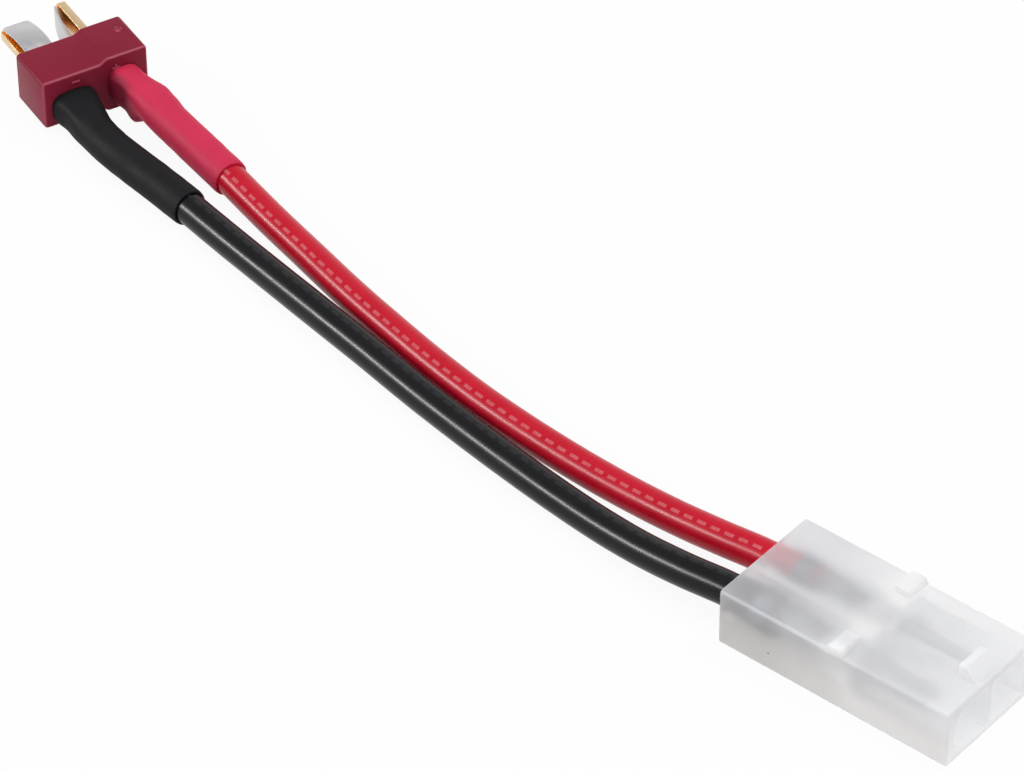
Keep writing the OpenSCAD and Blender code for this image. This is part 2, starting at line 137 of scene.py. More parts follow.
def evaluated(piece):
    bpy.context.view_layer.update()
    return bpy.data.meshes.new_from_object(piece.evaluated_get(bpy.context.evaluated_depsgraph_get()))


def distances(points):
    total, out = 0, [0]
    for a, b in zip(points, points[1:]):
        total += (b - a).length
        out.append(total)
    return out


def add(tree, kind, links=None, **props):
    made = tree.nodes.new(kind)
    for key, value in props.items():
        setattr(made, key, value)
    for key, value in (links or {}).items():
        socket = made.inputs[key]
        if isinstance(value, bpy.types.NodeSocket):
            tree.links.new(value, socket)
        else:
            socket.default_value = value
    return made


def number(tree, how, a, b=0.0, c=0.0, clamp=False):
    return add(tree, "ShaderNodeMath", {0: a, 1: b, 2: c}, operation=how, use_clamp=clamp).outputs[0]


def ranged(tree, value, start, full, low=0.0, high=1.0, how="LINEAR"):
    links = {"Value": value, "From Min": start, "From Max": full, "To Min": low, "To Max": high}
    return add(tree, "ShaderNodeMapRange", links, interpolation_type=how).outputs["Result"]


def spread(tree, value, low, high):
    return ranged(tree, value, 0.3, 0.7, low, high)  # noise mostly lies between 0.3 and 0.7


def tint(tree, share, first, second, how="MIX"):
    # first and second are colours or sockets
    mix = add(tree, "ShaderNodeMix", {"Factor": share}, data_type="RGBA", blend_type=how)
    for socket, colour in ((mix.inputs[6], first), (mix.inputs[7], second)):
        if isinstance(colour, bpy.types.NodeSocket):
            tree.links.new(colour, socket)
        else:
            socket.default_value = (*colour, 1)
    return mix.outputs[2]


def grain(tree, coords, scale, detail=3.0, stretch=None):
    if stretch:
        coords = add(tree, "ShaderNodeMapping", {"Vector": coords, "Scale": stretch}).outputs["Vector"]
    links = {"Vector": coords, "Scale": scale, "Detail": detail, "Roughness": 0.55}
    return add(tree, "ShaderNodeTexNoise", links).outputs["Fac"]


def plainMaterial(name, base, roughness, **sockets):
    material = bpy.data.materials.new(name)
    material.use_nodes = True
    tree = material.node_tree
    shader = tree.nodes["Principled BSDF"]
    shader.inputs["Base Color"].default_value = (*base, 1)
    shader.inputs["Roughness"].default_value = roughness
    for key, value in sockets.items():
        shader.inputs[key.replace("_", " ")].default_value = value
    return material, tree, shader, add(tree, "ShaderNodeTexCoord").outputs["Object"]


def alongAround(tree):
    uv = add(tree, "ShaderNodeUVMap", uv_map="alongAround").outputs["UV"]
    return add(tree, "ShaderNodeSeparateXYZ", {"Vector": uv}).outputs


def dress(tree, shader, colour, roughness):
    tree.links.new(colour, shader.inputs["Base Color"])
    tree.links.new(roughness, shader.inputs["Roughness"])


def roughen(tree, shader, height, distance, strength):
    bump = add(tree, "ShaderNodeBump", {"Height": height, "Distance": distance, "Strength": strength})
    tree.links.new(bump.outputs["Normal"], shader.inputs["Normal"])


# cloud and streak are a noise's scale, detail and stretch; bump is its depth in metres and its strength
metals = {
    "tinnedCopper": {"base": (0.78, 0.72, 0.66), "plain": 0.34, "cloud": (1400, 3), "rough": (0.28, 0.44),
                     "tones": ((0.66, 0.58, 0.5), (0.84, 0.8, 0.76))},
    # goldPlate's under-spring tones are painted shade and reflection for the faces toward its spring
    "goldPlate": {"base": (0.8, 0.48, 0.2), "plain": 0.26, "cloud": (400, 4), "rough": (0.2, 0.3),
                  "tones": ((0.72, 0.5, 0.28), (0.84, 0.63, 0.41)), "streak": (900, 3, (0.2, 1, 1)),
                  "bump": (0.00002, 0.1), "paintedShadeUnderSpring": ((0.95, 0.4, 0.05), (0.99, 0.5, 0.1))},
    "springNickel": {"base": (0.6, 0.59, 0.6), "plain": 0.3, "cloud": (500, 3), "rough": (0.26, 0.38),
                     "tones": ((0.5, 0.49, 0.5), (0.6, 0.59, 0.605)), "streak": (2400, 3, (0.15, 1, 1)),
                     "bump": (0.000004, 0.3)},
    "tinPlate": {"base": (0.6, 0.6, 0.62), "plain": 0.36, "cloud": (900, 4), "rough": (0.3, 0.46),
                 "tones": ((0.22, 0.23, 0.27), (0.34, 0.35, 0.39))},
    "solderTin": {"base": (0.72, 0.72, 0.74), "plain": 0.3, "cloud": (1800, 4), "rough": (0.22, 0.42),
                  "tones": ((0.62, 0.62, 0.64), (0.8, 0.8, 0.82)), "bump": (0.00008, 0.5)}}


def metal(name):
    look = metals[name]
    material, tree, shader, coords = plainMaterial(name, look["base"], look["plain"], Metallic=1.0)
    cloud = grain(tree, coords, *look["cloud"])
    streak = grain(tree, coords, *look["streak"]) if "streak" in look else cloud
    body = tint(tree, cloud, *look["tones"])
    # painted shade and reflection: the faces toward the spring are painted deep orange
    if "paintedShadeUnderSpring" in look:
        under = add(tree, "ShaderNodeAttribute", attribute_name="paintedShadeUnderSpring").outputs["Fac"]
        body = tint(tree, under, body, tint(tree, cloud, *look["paintedShadeUnderSpring"]))
    dress(tree, shader, body, spread(tree, streak, *look["rough"]))
    if "bump" in look:
        roughen(tree, shader, streak, *look["bump"])
    return material


# camera, in millimetres and degrees, fitted to the photo
viewpoint = {"place": (222.71, -322.36, 369.43), "heading": 129.95, "down": 40.399, "roll": -0.183,
             "lens": 187.24, "sensor": 36, "near": 0.05, "far": 20}


def makeCamera():
    heading, down = math.radians(viewpoint["heading"]), math.radians(viewpoint["down"])
    level = math.cos(down)
    ahead = Vector((math.cos(heading) * level, math.sin(heading) * level, -math.sin(down)))
    right = ahead.cross(Vector((0, 0, 1))).normalized()
    up = right.cross(ahead)
    roll = Matrix.Rotation(math.radians(viewpoint["roll"]), 3, "Z")
    turn = Matrix((right, up, -ahead)).transposed() @ roll
    data = bpy.data.cameras.new("viewCamera")
    data.lens = viewpoint["lens"]
    data.sensor_width = viewpoint["sensor"]
    data.clip_start, data.clip_end = viewpoint["near"], viewpoint["far"]
    camera = bpy.data.objects.new("viewCamera", data)
    camera.matrix_world = Matrix.Translation(Vector(viewpoint["place"]) * mm) @ turn.to_4x4()
    scene.collection.objects.link(camera)
    scene.camera = camera


makeCamera()
print("camera placed")

# wires: the same routes as in the part's source, x counted from the receptacle's wire face
wireFace = -14.25
plug = {"x": -108.47, "y": 16.8, "turn": -19.6, "middle": 3.7, "depth": 6.8, "width": 13.3,
        "flatBladeAt": -2.9, "uprightBladeAt": 3.0, "tabLength": 3.2, "stripAt": 4.9}
wire = {"diameter": 3.7, "bore": 2.0, "sides": 56, "step": 0.6, "pitch": 6.2, "height": 3.6, "entry": 1.2,
        "end": 4.7, "lip": 0.12, "waver": 0.012, "waverScale": 0.35, "blackCutLow": 1.45, "redCutAside": 1.1,
        "pathPoints": 36}

blackRoute = [(-101, 11.3, 2.3), (-97, 10.6, 2.25), (-92.5, 9.9, 2.22), (-87, 8.9, 2.22), (-83, 8.2, 2.05),
              (-79, 7.5, 1.9), (-72, 6.2, 1.85), (-64, 4.7, 1.85), (-56, 3.2, 1.85), (-48, 1.6, 1.85),
              (-40, 0.2, 1.85), (-32, -1, 1.85), (-25, -1.9, 1.85), (-19, -2.6, 2.02), (-13, -3.2, 2.5),
              (-7, -3.4, 3.1), (-2, -3.2, 3.5)]
redRoute = [(-98, 18.2, 3.05), (-93, 17.15, 2.55), (-87, 15.7, 2.25), (-83, 14.6, 2.05), (-79, 13.5, 1.9),
            (-72, 11.6, 1.85), (-64, 9.4, 1.85), (-56, 7.5, 1.85), (-48, 5.8, 1.85), (-40, 4.5, 1.85),
            (-32, 3.7, 1.85), (-25, 3.3, 1.85), (-19, 3.1, 2.02), (-13, 2.9, 2.5), (-7, 2.9, 3.1),
            (-2, 3.1, 3.5)]


def plugPoint(u, v, z):
    turn = math.radians(plug["turn"])
    return Vector((wireFace + plug["x"] + u * math.cos(turn) - v * math.sin(turn),
                   plug["y"] + u * math.sin(turn) + v * math.cos(turn), plug["middle"] + z))


def fromWireFace(point):
    return Vector((point[0] + wireFace, point[1], point[2]))


def wireRows(route, cut, side):
    y, z = side * wire["pitch"] / 2, wire["height"]
    return [cut] + [fromWireFace(p) for p in route + [(wire["entry"], y, z), (wire["end"], y, z)]]


def circle(radius, sides, turn=0.0):
    angles = [turn + 2 * math.pi * k / sides for k in range(sides)]
    return [(radius * math.cos(angle), radius * math.sin(angle)) for angle in angles]


def makeWire(name, rows, node):
    points = [Vector(p) for p in smoothRows([list(r) for r in rows], wire["step"])]
    lengths = distances(points)
    ahead = directions(points)
    outer, inner = [], []
    for i, (point, way) in enumerate(zip(points, ahead)):
        end = min(lengths[i], lengths[-1] - lengths[i])
        radius = wire["diameter"] / 2 - wire["lip"] * max(0, 1 - end / wire["lip"])
        radius += wire["waver"] * noise.noise(point * wire["waverScale"])
        outer.append(ringAt(point, way, circle(radius, wire["sides"], -math.pi / 2)))
        inner.append(ringAt(point, way, circle(wire["bore"] / 2, wire["sides"], -math.pi / 2)))
    return place(name, wallTube(name, outer, inner, lengths), node), points


blackCut = plugPoint(plug["stripAt"], plug["flatBladeAt"], -wire["blackCutLow"])
redCut = plugPoint(plug["stripAt"], plug["uprightBladeAt"] + wire["redCutAside"], 0)
blackRows, redRows = wireRows(blackRoute, blackCut, -1), wireRows(redRoute, redCut, 1)
blackWire, blackPoints = makeWire("black_insulation", blackRows, "black_wire")
redWire, redPoints = makeWire("red_insulation", redRows, "red_wire")
print("wires made")

# heat-shrink sleeves, from the plug's wire side to a little way over the wires
sleeveForm = {"wall": 0.3, "wireRadius": 2.2, "sides": 72, "step": 0.4, "lip": 0.1, "lipWall": 0.07,
              "wrinkle": 0.035, "wrinkleAlong": 0.7, "wrinkleRound": 1.1, "squareTo": 2.0, "turnOver": 4.0}
# rows of the mouths: distance from the plug, offset across the blade and up, half sizes, squareness
blackMouth = [(0.05, 0, -0.92, 2.8, 2.17, 2.8), (0.9, 0, -0.92, 2.7, 2.12, 3),
              (1.9, 0, -0.92, 2.45, 1.98, 3.4), (4.8, 0, -1.4, 2.25, 2.2, 2.2)]
redMouth = [(0.05, 0.6, -0.3, 2.25, 2.4, 2.6), (1, 0.65, -0.28, 2.22, 2.5, 2.6),
            (2.2, 0.85, -0.34, 2.1, 2.56, 2.7), (4.0, 1.0, -0.33, 2.17, 2.57, 2.7),
            (4.8, 1.1, 0, 2.25, 2.25, 2.5)]
# ridges and dents: distance along and its spread, degrees round (0 across, 90 up) and their spread, height
blackRidges = [(1.0, 1.6, 135, 18, 0.06), (3.2, 1.6, 112, 26, -0.07), (7.5, 3.0, 95, 34, -0.05),
               (4.6, 1.3, 265, 40, -0.08)]
redRidges = [(1.0, 2.0, 118, 14, 0.2), (2.6, 1.8, 148, 10, 0.16), (2.2, 2.4, 186, 26, -0.4),
             (4.0, 0.6, 236, 30, 0.22), (5.4, 0.8, 225, 50, -0.16), (1.8, 2.4, 40, 24, -0.28),
             (5.6, 0.7, 30, 20, 0.1), (7.6, 0.6, 24, 20, 0.07), (3.4, 0.5, 120, 16, -0.07)]


def sleeveRadii(a, b, squareness, bumps, at, wall):
    out = []
    for k in range(sleeveForm["sides"]):
        angle = 2 * math.pi * k / sleeveForm["sides"] - math.pi / 2
        c, s = math.cos(angle), math.sin(angle)
        x = (a - wall) * math.copysign(abs(c) ** (2 / squareness), c)
        y = (b - wall) * math.copysign(abs(s) ** (2 / squareness), s)
        swell = 0
        for along, reach, facing, width, height in bumps:
            off = (math.degrees(angle) - facing + 180) % 360 - 180
            swell += height * math.exp(-((at - along) / reach) ** 2 - (off / width) ** 2)
        around = sleeveForm["wrinkleRound"]
        spot = Vector((at * sleeveForm["wrinkleAlong"], c * around, s * around + a))
        swell += sleeveForm["wrinkle"] * noise.noise(spot)
        grow = 1 + swell / max(math.hypot(x, y), 0.1)
        out.append((x * grow, y * grow))
    return out


def makeSleeve(name, mouth, bladeAt, route, covered, bumps, node):
    rows = [list(plugPoint(m[0], bladeAt + m[1], m[2])) + list(m[3:]) for m in mouth]
    rows += [list(fromWireFace(p)) + [sleeveForm["wireRadius"]] * 2 + [2] for p in route[:covered]]
    rows = smoothRows(rows, sleeveForm["step"])
    points = [Vector(r[:3]) for r in rows]
    lengths = distances(points)
    out = (plugPoint(1, 0, 0) - plugPoint(0, 0, 0)).normalized()
    ahead = []
    for way, at in zip(directions(points), lengths):  # square to the tab first, then turning with the wire
        share = min(1, max(0, (at - sleeveForm["squareTo"]) / sleeveForm["turnOver"]))
        ahead.append(out.lerp(way, share * share * (3 - 2 * share)).normalized())
    outer, inner = [], []
    for row, point, way, at in zip(rows, points, ahead, lengths):
        end = min(at, lengths[-1] - at)
        thin = sleeveForm["lipWall"] * max(0, 1 - end / sleeveForm["lip"])
        outer.append(ringAt(point, way, sleeveRadii(row[3], row[4], row[5], bumps, at, thin)))
        inner.append(ringAt(point, way, sleeveRadii(row[3], row[4], row[5], bumps, at, sleeveForm["wall"])))
    return place(name, wallTube(name, outer, inner, lengths), node, angle=50)


blackSleeve = makeSleeve("black_shrink_tube", blackMouth, plug["flatBladeAt"], blackRoute, 4, blackRidges,
                         "black_sleeve")
redSleeve = makeSleeve("red_shrink_tube", redMouth, plug["uprightBladeAt"], redRoute, 3, redRidges,
                       "red_sleeve")
print("sleeves made")

# twisted strands, laid along the same paths
bundle = {"strands": 19, "strand": 0.31, "turnLength": 24.0, "sides": 6, "step": 0.8, "start": 1.1, "end": 9.1,
          "offBlade": 1.5, "redLift": 0.35}


def strandTree():
    tree = bpy.data.node_groups.new("twistedBundle", "GeometryNodeTree")
    tree.is_modifier = True
    tree.interface.new_socket("Geometry", in_out="INPUT", socket_type="NodeSocketGeometry")
    for name, kind in (("Strands", "Int"), ("Strand diameter", "Float"), ("Turns a metre", "Float"),
                       ("Sides", "Int"), ("Finish", "Material")):
        tree.interface.new_socket(name, in_out="INPUT", socket_type="NodeSocket" + kind)
    tree.interface.new_socket("Geometry", in_out="OUTPUT", socket_type="NodeSocketGeometry")
    given = tree.nodes.new("NodeGroupInput").outputs
    path = add(tree, "GeometryNodeMeshToCurve", {0: given["Geometry"]}).outputs[0]
    copies = {"Geometry": path, "Amount": given["Strands"]}
    many = add(tree, "GeometryNodeDuplicateElements", copies, domain="SPLINE")
    index = many.outputs["Duplicate Index"]
    outer = number(tree, "GREATER_THAN", index, 6.5)  # one in the middle, a ring of six, a ring of twelve
    layer = number(tree, "ADD", number(tree, "GREATER_THAN", index, 0.5), outer)
    first = number(tree, "ADD", number(tree, "MULTIPLY", outer, 6.0), 1.0)
    inLayer = number(tree, "MAXIMUM", number(tree, "MULTIPLY", layer, 6.0), 1.0)
    share = number(tree, "DIVIDE", number(tree, "SUBTRACT", index, first), inLayer)
    along = add(tree, "GeometryNodeSplineParameter").outputs["Length"]
    turns = number(tree, "ADD", share, number(tree, "MULTIPLY", along, given["Turns a metre"]))
    angle = number(tree, "MULTIPLY", turns, 2 * math.pi)
    radius = number(tree, "MULTIPLY", layer, given["Strand diameter"])
    normal = add(tree, "GeometryNodeInputNormal").outputs[0]
    tangent = add(tree, "GeometryNodeInputTangent").outputs[0]
    side = add(tree, "ShaderNodeVectorMath", {0: tangent, 1: normal}, operation="CROSS_PRODUCT").outputs[0]
    def away(way, amount):
        made = add(tree, "ShaderNodeVectorMath", {0: way}, operation="SCALE")
        tree.links.new(amount, made.inputs["Scale"])
        return made.outputs[0]
    outAlong = away(normal, number(tree, "MULTIPLY", radius, number(tree, "COSINE", angle)))
    outAside = away(side, number(tree, "MULTIPLY", radius, number(tree, "SINE", angle)))
    shift = add(tree, "ShaderNodeVectorMath", {0: outAlong, 1: outAside}, operation="ADD").outputs[0]
    lines = many.outputs["Geometry"]
    moved = add(tree, "GeometryNodeSetPosition", {"Geometry": lines, "Offset": shift}).outputs[0]
    half = number(tree, "MULTIPLY", given["Strand diameter"], 0.5)
    ring = add(tree, "GeometryNodeCurvePrimitiveCircle", {"Resolution": given["Sides"], "Radius": half})
    swept = {"Curve": moved, "Profile Curve": ring.outputs[0], "Fill Caps": True}
    tubes = add(tree, "GeometryNodeCurveToMesh", swept).outputs[0]
    smooth = add(tree, "GeometryNodeSetShadeSmooth", {"Geometry": tubes}).outputs[0]
    whole = add(tree, "GeometryNodeRealizeInstances", {"Geometry": smooth}).outputs[0]
    done = add(tree, "GeometryNodeSetMaterial", {"Geometry": whole, "Material": given["Finish"]}).outputs[0]
    tree.links.new(done, tree.nodes.new("NodeGroupOutput").inputs[0])
    return tree


def setInputs(modifier, values):
    for item in modifier.node_group.interface.items_tree:
        if item.item_type == "SOCKET" and item.in_out == "INPUT" and item.name in values:
            modifier[item.identifier] = values[item.name]


def makeStrands(name, tabRows, wireSteps, side, node):
    rows = tabRows + wireSteps + [fromWireFace((bundle["end"], side * wire["pitch"] / 2, wire["height"]))]
    points = [Vector(p) * mm for p in smoothRows([list(r) for r in rows], bundle["step"])]
    mesh = bpy.data.meshes.new(name)
    mesh.from_pydata(points, [(i, i + 1) for i in range(len(points) - 1)], [])
    line = bpy.data.objects.new("strandPath", mesh)
    scene.collection.objects.link(line)
    modifier = line.modifiers.new("twistedBundle", "NODES")
    modifier.node_group = twist
    setInputs(modifier, {"Strands": bundle["strands"], "Strand diameter": bundle["strand"] * mm,
                         "Sides": bundle["sides"], "Turns a metre": 1000 / bundle["turnLength"],
                         "Finish": strandCopper})
    piece = bpy.data.objects.new(name, evaluated(line))
    bpy.data.objects.remove(line)
    scene.collection.objects.link(piece)
    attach(piece, "root")
    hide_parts(node)
    return piece


def declareCord(piece, points, *others):
    lengths = distances(points)


strandCopper = metal("tinnedCopper")
twist = strandTree()
onTab = (bundle["start"], plug["tabLength"])
blackTab = [plugPoint(u, plug["flatBladeAt"], -bundle["offBlade"]) for u in onTab]
redTab = [plugPoint(u, plug["uprightBladeAt"] + bundle["offBlade"], bundle["redLift"]) for u in onTab]
blackStrands = makeStrands("black_twisted_strands", blackTab, blackRows, -1, "black_strands")
redStrands = makeStrands("red_twisted_strands", redTab, redRows, 1, "red_strands")
declareCord(blackWire, blackPoints, blackSleeve, blackStrands)
declareCord(redWire, redPoints, redSleeve, redStrands)


def meshFrom(name, build):
    work = bmesh.new()
    build(work)
    bmesh.ops.recalc_face_normals(work, faces=work.faces)
    mesh = bpy.data.meshes.new(name)
    work.to_mesh(mesh)
    work.free()
    return mesh


def loftMesh(name, rings):
    def build(work):
        made = [[work.verts.new(p) for p in ring] for ring in rings]
        n = len(rings[0])
        for low, high in zip(made, made[1:]):
            for k in range(n):
                work.faces.new((low[k], low[(k + 1) % n], high[(k + 1) % n], high[k]))
        work.faces.new(made[0][::-1])
        work.faces.new(made[-1])
    return meshFrom(name, build)


def easedLoft(name, x0, x1, edge, steps, section):
    # section gives the outline at an inset, and both ends are rounded by the edge
    turns = [math.pi / 2 * i / steps for i in range(steps + 1)]
    sections = [(x0 + edge * (1 - math.cos(t)), edge * (1 - math.sin(t))) for t in turns]
    sections += [(x1 - edge * (1 - math.cos(t)), edge * (1 - math.sin(t))) for t in reversed(turns)]
    return loftMesh(name, [[(x, y, z) for y, z in section(inset)] for x, inset in sections])


def boxMesh(name, low, high, edge=0.0, segments=3):
    def build(work):
        bmesh.ops.create_cube(work, size=1)
        for v in work.verts:
            v.co = Vector([(low[i] + high[i]) / 2 + v.co[i] * (high[i] - low[i]) for i in range(3)])
        if edge:
            bmesh.ops.bevel(work, geom=work.edges[:], offset=edge, segments=segments, profile=0.5,
                            affect="EDGES")
    return meshFrom(name, build)


def carve(mesh, changes):
    base = bpy.data.objects.new("carving", mesh)
    scene.collection.objects.link(base)
    helpers = []
    for how, tool in changes:
        helper = bpy.data.objects.new("tool", tool)
        scene.collection.objects.link(helper)
        helpers.append(helper)
        step = base.modifiers.new("cut", "BOOLEAN")
        step.operation, step.object, step.solver = how, helper, "EXACT"
    done = evaluated(base)
    for o in [base] + helpers:
        bpy.data.objects.remove(o)
    return done


def bevelled(mesh, width, segments=2, angle=40):
    base = bpy.data.objects.new("bevelling", mesh)
    scene.collection.objects.link(base)
    step = base.modifiers.new("edges", "BEVEL")
    step.width, step.segments = width, segments
    step.limit_method, step.angle_limit = "ANGLE", math.radians(angle)
    done = evaluated(base)
    bpy.data.objects.remove(base)
    return done


def arc(cx, cy, radius, start, stop, steps):
    angles = [math.radians(start + (stop - start) * i / steps) for i in range(steps + 1)]
    return [(cx + radius * math.cos(angle), cy + radius * math.sin(angle)) for angle in angles]


def plugFrame():
    turn = Matrix.Rotation(math.radians(plug["turn"]), 4, "Z")
    return Matrix.Translation(Vector((wireFace + plug["x"], plug["y"], plug["middle"]))) @ turn


def toFrame(mesh, matrix):
    mesh.transform(Matrix.Scale(mm, 4) @ matrix)
    return mesh


# plug housing with its raised signs and its dimple
housing = {"thick": 7.4, "thin": 6.35, "stepAt": 0.5, "stepRun": 1.2, "stepRows": 10, "corner": 0.5,
           "leastCorner": 0.08, "edge": 0.3, "edgeSteps": 5,
           # the dimple's place in shares of the depth and the width
           "dimpleBall": 0.66, "dimpleDepth": 0.27, "dimpleBack": 0.65, "dimpleAside": 0.39,
           "plusAt": 2.6, "minusAt": -2.5, "signRise": 2.1, "signSize": 1.0, "signStroke": 0.22,
           "signHeight": 0.15, "signSunk": 0.2, "signEdge": 0.05,
           # painted highlight: how much paler the rims and the dimple are painted, and the painted glint in the
           # dimple's middle with its size
           "paintedHighlightStrength": 0.38, "dimpleHighlight": 0.35, "glintPale": 1.8, "glintSize": 0.32}
blade = {"width": 3.8, "thick": 1.0, "out": 8.1, "tip": 0.5, "tabWidth": 2.4, "shoulder": 1.0, "fit": 0.03,
         "edge": 0.09}
spring = {"width": 3.4, "thick": 0.25, "bow": 1.2, "tail": 1.3, "fit": 0.03, "round": 0.6, "room": 0.15,
          "overcut": 0.2, "steps": 40, "edge": 0.06}


def plugOutline(inset):
    w, lo, hi = plug["width"] / 2 - inset, housing["thin"] / 2 - inset, housing["thick"] / 2 - inset
    r, n = max(housing["corner"] - inset, housing["leastCorner"]), housing["stepRows"]
    start, run = housing["stepAt"], housing["stepRun"]
    eased = [(1 - math.cos(math.pi * i / n)) / 2 for i in range(n + 1)]
    ease = [(start + run * i / n, lo + (hi - lo) * share) for i, share in enumerate(eased)]
    return (arc(-w + r, -lo + r, r, 180, 270, 6) + [(x, -z) for x, z in ease]
            + arc(w - r, -hi + r, r, 270, 360, 6) + arc(w - r, hi - r, r, 0, 90, 6)
            + ease[::-1] + arc(-w + r, lo - r, r, 90, 180, 6))


def alongBlade(upright):
    # the blade's own frame: x behind the wire face, y across it, z toward its spring
    if upright:
        aside = Matrix.Translation((0, plug["uprightBladeAt"], 0))
        return plugFrame() @ aside @ Matrix.Rotation(math.pi / 2, 4, "X")
    return plugFrame() @ Matrix.Translation((0, plug["flatBladeAt"], 0))


def bladePlan(grow):
    w, t, r = blade["width"] / 2 + grow, blade["tabWidth"] / 2 + grow, blade["tip"]
    front, shoulder, tab = -plug["depth"] - blade["out"], -blade["shoulder"] + grow, plug["tabLength"]
    return (arc(front + r, -w + r, r, 180, 270, 6) + [(shoulder, -w), (shoulder, -t)]
            + arc(tab - r, -t + r, r, 270, 360, 6) + arc(tab - r, t - r, r, 0, 90, 6)
            + [(shoulder, t), (shoulder, w)] + arc(front + r, w - r, r, 90, 180, 6))


def slab(name, plan, low, high):
    return loftMesh(name, [[(x, y, z) for x, y in plan] for z in (low, high)])


def springHeight(share):
    return spring["fit"] + (spring["bow"] - spring["thick"]) * math.sin(math.pi * share)


def bladeWay(upright):
    half = blade["thick"] / 2 + blade["fit"]
    return toFrame(slab("way", bladePlan(blade["fit"]), -half, half), alongBlade(upright))


def tailPocket(upright):
    share = blade["out"] / (blade["out"] + spring["tail"])
    high = blade["thick"] / 2 + springHeight(share) + spring["thick"] + spring["room"]
    half = spring["width"] / 2 + spring["room"]
    front, back = -plug["depth"] - spring["overcut"], -plug["depth"] + spring["tail"] + spring["room"]
    return toFrame(boxMesh("pocket", (front, -half, 0), (back, half, high)), alongBlade(upright))


def sign(v, z, plus):
    # a raised moulded stroke or cross beside each sleeve
    a, s, h = housing["signSize"] / 2, housing["signStroke"] / 2, housing["signHeight"]
    sunk, edge = -housing["signSunk"], housing["signEdge"]
    bars = [boxMesh("bar", (sunk, v - a, z - s), (h, v + a, z + s), edge, 2)]
    if plus:
        bars.append(boxMesh("bar", (sunk, v - s, z - a), (h, v + s, z + a), edge, 2))
    return [toFrame(bar, plugFrame()) for bar in bars]


def makePlugHousing():
    edge, depth = housing["edge"], plug["depth"]
    block = toFrame(easedLoft("block", -depth, 0, edge, housing["edgeSteps"], plugOutline), plugFrame())
    ball, top = housing["dimpleBall"], housing["thick"] / 2
    dimpleX, dimpleY = -depth * housing["dimpleBack"], plug["width"] * housing["dimpleAside"]
    dimple = meshFrom("dimple", lambda work: bmesh.ops.create_uvsphere(work, u_segments=32, v_segments=24,
                                                                       radius=ball))
    dimpleZ = top + ball - housing["dimpleDepth"]
    toFrame(dimple, plugFrame() @ Matrix.Translation((dimpleX, dimpleY, dimpleZ)))
    changes = [("DIFFERENCE", bladeWay(False)), ("DIFFERENCE", bladeWay(True)),
               ("DIFFERENCE", tailPocket(False)), ("DIFFERENCE", tailPocket(True)), ("DIFFERENCE", dimple)]
    plus = sign(housing["plusAt"], housing["signRise"], True)
    minus = sign(housing["minusAt"], housing["signRise"], False)
    changes += [("UNION", bar) for bar in plus + minus]
    mesh = carve(block, changes)
    back = (Matrix.Scale(mm, 4) @ plugFrame()).inverted()
    # painted highlight: the rounded rims of both faces and the raised signs are painted paler, and the dimple
    # paler still with a painted glint in its middle
    pale = mesh.attributes.new("paintedHighlight", "FLOAT", "POINT")  # the rounded rims and the raised signs are paler
    for vertex in mesh.vertices:
        x, y, z = back @ vertex.co
        near = min(abs(x), abs(x + depth))
        turn = math.acos(max(-1, min(1, 1 - near / edge)))
        share = math.sin(2 * turn) if 0.001 < near < edge and -depth < x < 0 else 1.0 if x > 0.02 else 0.0
        off = math.hypot(x - dimpleX, y - dimpleY)
        if off < ball and 3 < z < top - 0.01:
            share = housing["dimpleHighlight"] + housing["glintPale"] * max(0, 1 - off / housing["glintSize"])
        pale.data[vertex.index].value = max(0, share) * housing["paintedHighlightStrength"]
    return place("plug_body", mesh, "plug_housing", angle=32)


plugBody = makePlugHousing()
print("plug housing made")


def makeBlade(name, upright, node):
    half = blade["thick"] / 2
    mesh = toFrame(slab(name, bladePlan(0), -half, half), alongBlade(upright))
    mesh = bevelled(mesh, blade["edge"] * mm, 3)
    toward = alongBlade(upright).to_3x3() @ Vector((0, 0, 1))
    # painted shade and reflection: faces toward the spring get the deep orange tone
    under = mesh.attributes.new("paintedShadeUnderSpring", "FLOAT", "FACE")
    for face in mesh.polygons:
        under.data[face.index].value = 1.0 if face.normal.dot(toward) > 0.99 else 0.0
    return place(name, mesh, node)


def makeSpring(name, upright, node):
    reach, half, r = blade["out"] + spring["tail"], spring["width"] / 2, spring["round"]
    front, steps = -plug["depth"] - blade["out"], spring["steps"]
    rows = []
    for i in range(steps + 1):
        share = i / steps
        x = reach * share
        narrow = r - math.sqrt(max(0, r * r - (r - x) ** 2)) if x < r else 0
        rows.append((front + x, half - narrow, blade["thick"] / 2 + springHeight(share)))
    def build(work):
        bottom = [[work.verts.new((x, s * w, z)) for s in (-1, 1)] for x, w, z in rows]
        top = [[work.verts.new((x, s * w, z + spring["thick"])) for s in (-1, 1)] for x, w, z in rows]
        for low, high in ((i, i + 1) for i in range(steps)):
            work.faces.new((top[low][0], top[high][0], top[high][1], top[low][1]))
            work.faces.new((bottom[low][0], bottom[low][1], bottom[high][1], bottom[high][0]))
            for s in (0, 1):
                work.faces.new((bottom[low][s], bottom[high][s], top[high][s], top[low][s]))
        for end in (0, steps):
            work.faces.new((bottom[end][0], bottom[end][1], top[end][1], top[end][0]))
    mesh = toFrame(meshFrom(name, build), alongBlade(upright))
    return place(name, bevelled(mesh, spring["edge"] * mm, 2), node)


flatBlade = makeBlade("flat_contact_blade", False, "flat_blade")
uprightBlade = makeBlade("upright_contact_blade", True, "upright_blade")
flatSpring = makeSpring("flat_leaf_spring", False, "flat_blade_spring")
uprightSpring = makeSpring("upright_leaf_spring", True, "upright_blade_spring")
print("blades and springs made")

